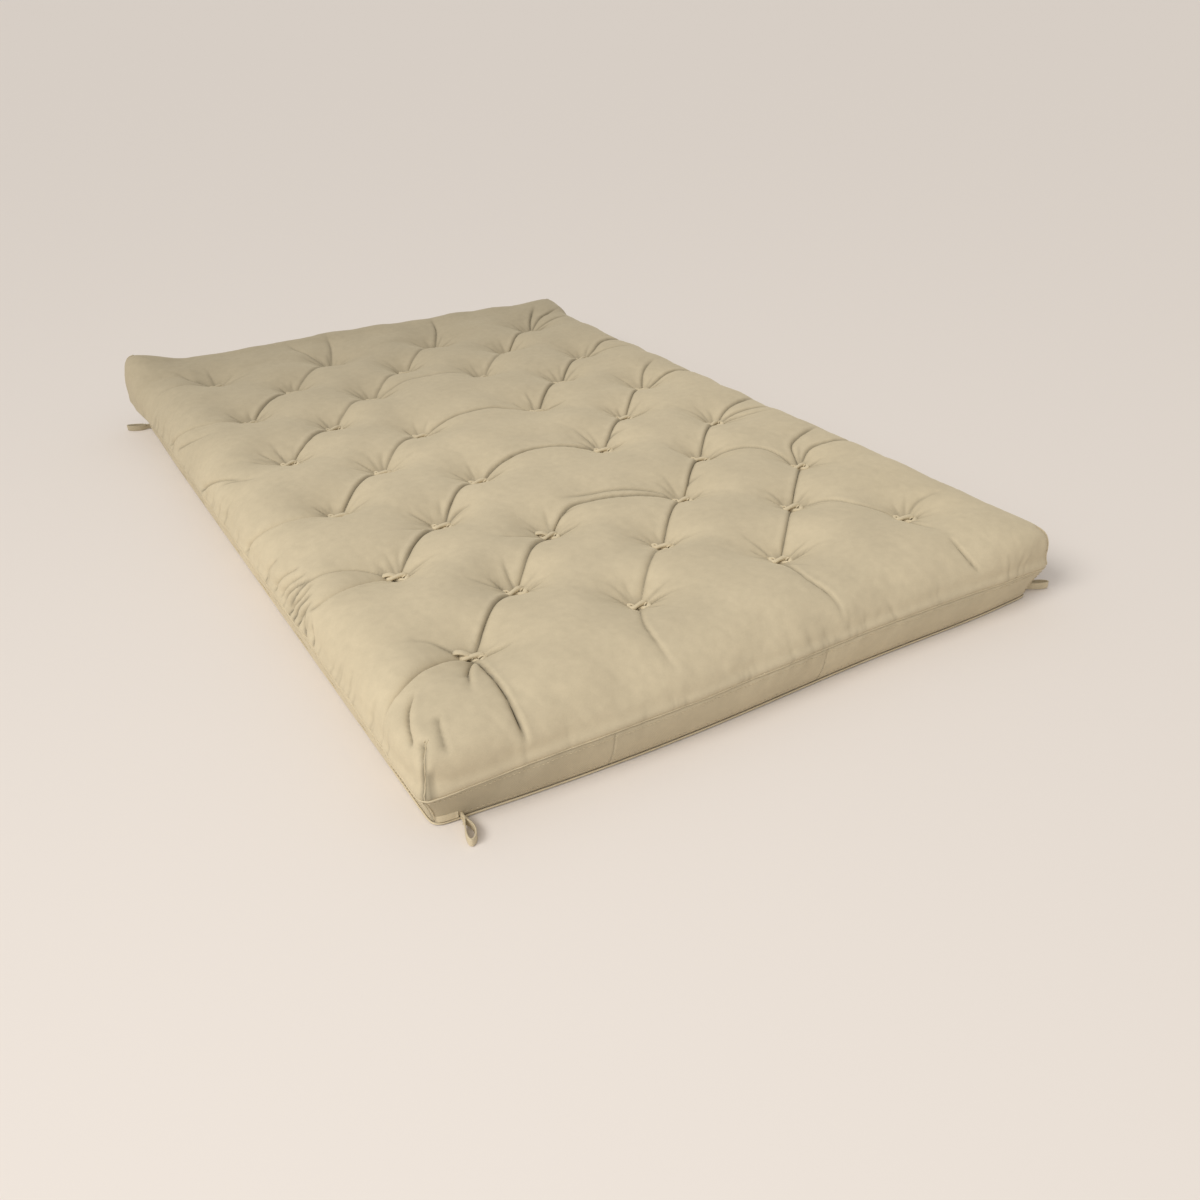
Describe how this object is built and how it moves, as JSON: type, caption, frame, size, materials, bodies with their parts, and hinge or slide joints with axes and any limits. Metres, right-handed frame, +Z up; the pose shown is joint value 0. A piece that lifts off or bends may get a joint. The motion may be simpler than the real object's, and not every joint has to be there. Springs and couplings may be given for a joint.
{
  "type": "futon mattress",
  "caption": "Tufted cotton futon mattress with a khaki drill cover, a dimpled top and bottom, layered batting and hinged tape loops at the corners.",
  "frame": {"origin": "centre of the underside, on the floor that the mattress lies on", "axes": "+X across the width, +Y along the length towards the raised end, +Z up"},
  "size_m": [1.2604, 1.9028, 0.181],
  "materials": {
    "cover_cloth": "khaki cotton drill, matt with a soft nap",
    "cotton_batting": "unbleached carded cotton felt",
    "tuft_cord": "twisted cotton cord",
    "loop_tape": "woven cotton tape",
    "seam_cloth": "folded and stitched cotton drill"
  },
  "bodies": {
    "mattress": {"band_corner_seam_front_left": "seam_cloth", "band_corner_seam_front_right": "seam_cloth", "band_corner_seam_rear_left": "seam_cloth", "band_corner_seam_rear_right": "seam_cloth", "band_front_closing": "cover_cloth", "band_front_left": "cover_cloth", "band_front_right": "cover_cloth", "band_left": "cover_cloth", "band_rear": "cover_cloth", "band_right": "cover_cloth", "batting_layer_1": "cotton_batting", "batting_layer_2": "cotton_batting", "batting_layer_3": "cotton_batting", "batting_layer_4": "cotton_batting", "batting_layer_5": "cotton_batting", "batting_layer_6": "cotton_batting", "bottom_panel": "cover_cloth", "bottom_piping": "seam_cloth", "horizontal_seam": "seam_cloth", "tuft_row_a": "tuft_cord", "tuft_row_b": "tuft_cord", "tuft_row_c": "tuft_cord", "tuft_row_d": "tuft_cord", "tuft_row_e": "tuft_cord", "tuft_row_f": "tuft_cord", "tuft_row_g": "tuft_cord", "tuft_row_h": "tuft_cord", "tuft_row_i": "tuft_cord", "tuft_row_j": "tuft_cord", "tuft_row_k": "tuft_cord", "upper_corner_seam_front_left": "seam_cloth", "upper_corner_seam_front_right": "seam_cloth", "upper_corner_seam_rear_left": "seam_cloth", "upper_corner_seam_rear_right": "seam_cloth", "upper_cover": "cover_cloth"},
    "loop_front_left": {"corner_loop_front_left": "loop_tape"},
    "loop_front_right": {"corner_loop_front_right": "loop_tape"},
    "loop_rear_right": {"corner_loop_rear_right": "loop_tape"},
    "loop_rear_left": {"corner_loop_rear_left": "loop_tape"}
  },
  "joints": [
    {"name": "loop_front_left_lift", "type": "hinge", "parent": "mattress", "child": "loop_front_left", "pos_m": [-0.54175, -0.91017, 0.0075], "axis": [-0.9994, 0.0349, 0], "range_deg": [0, 68]},
    {"name": "loop_front_right_lift", "type": "hinge", "parent": "mattress", "child": "loop_front_right", "pos_m": [0.58871, -0.87214, 0.0075], "axis": [-0.2419, -0.9703, 0], "range_deg": [0, 68]},
    {"name": "loop_rear_right_lift", "type": "hinge", "parent": "mattress", "child": "loop_rear_right", "pos_m": [0.54175, 0.91017, 0.0075], "axis": [0.9994, -0.0349, 0], "range_deg": [0, 68]},
    {"name": "loop_rear_left_lift", "type": "hinge", "parent": "mattress", "child": "loop_rear_left", "pos_m": [-0.58871, 0.87214, 0.0075], "axis": [0.2419, 0.9703, 0], "range_deg": [0, 68]}
  ]
}
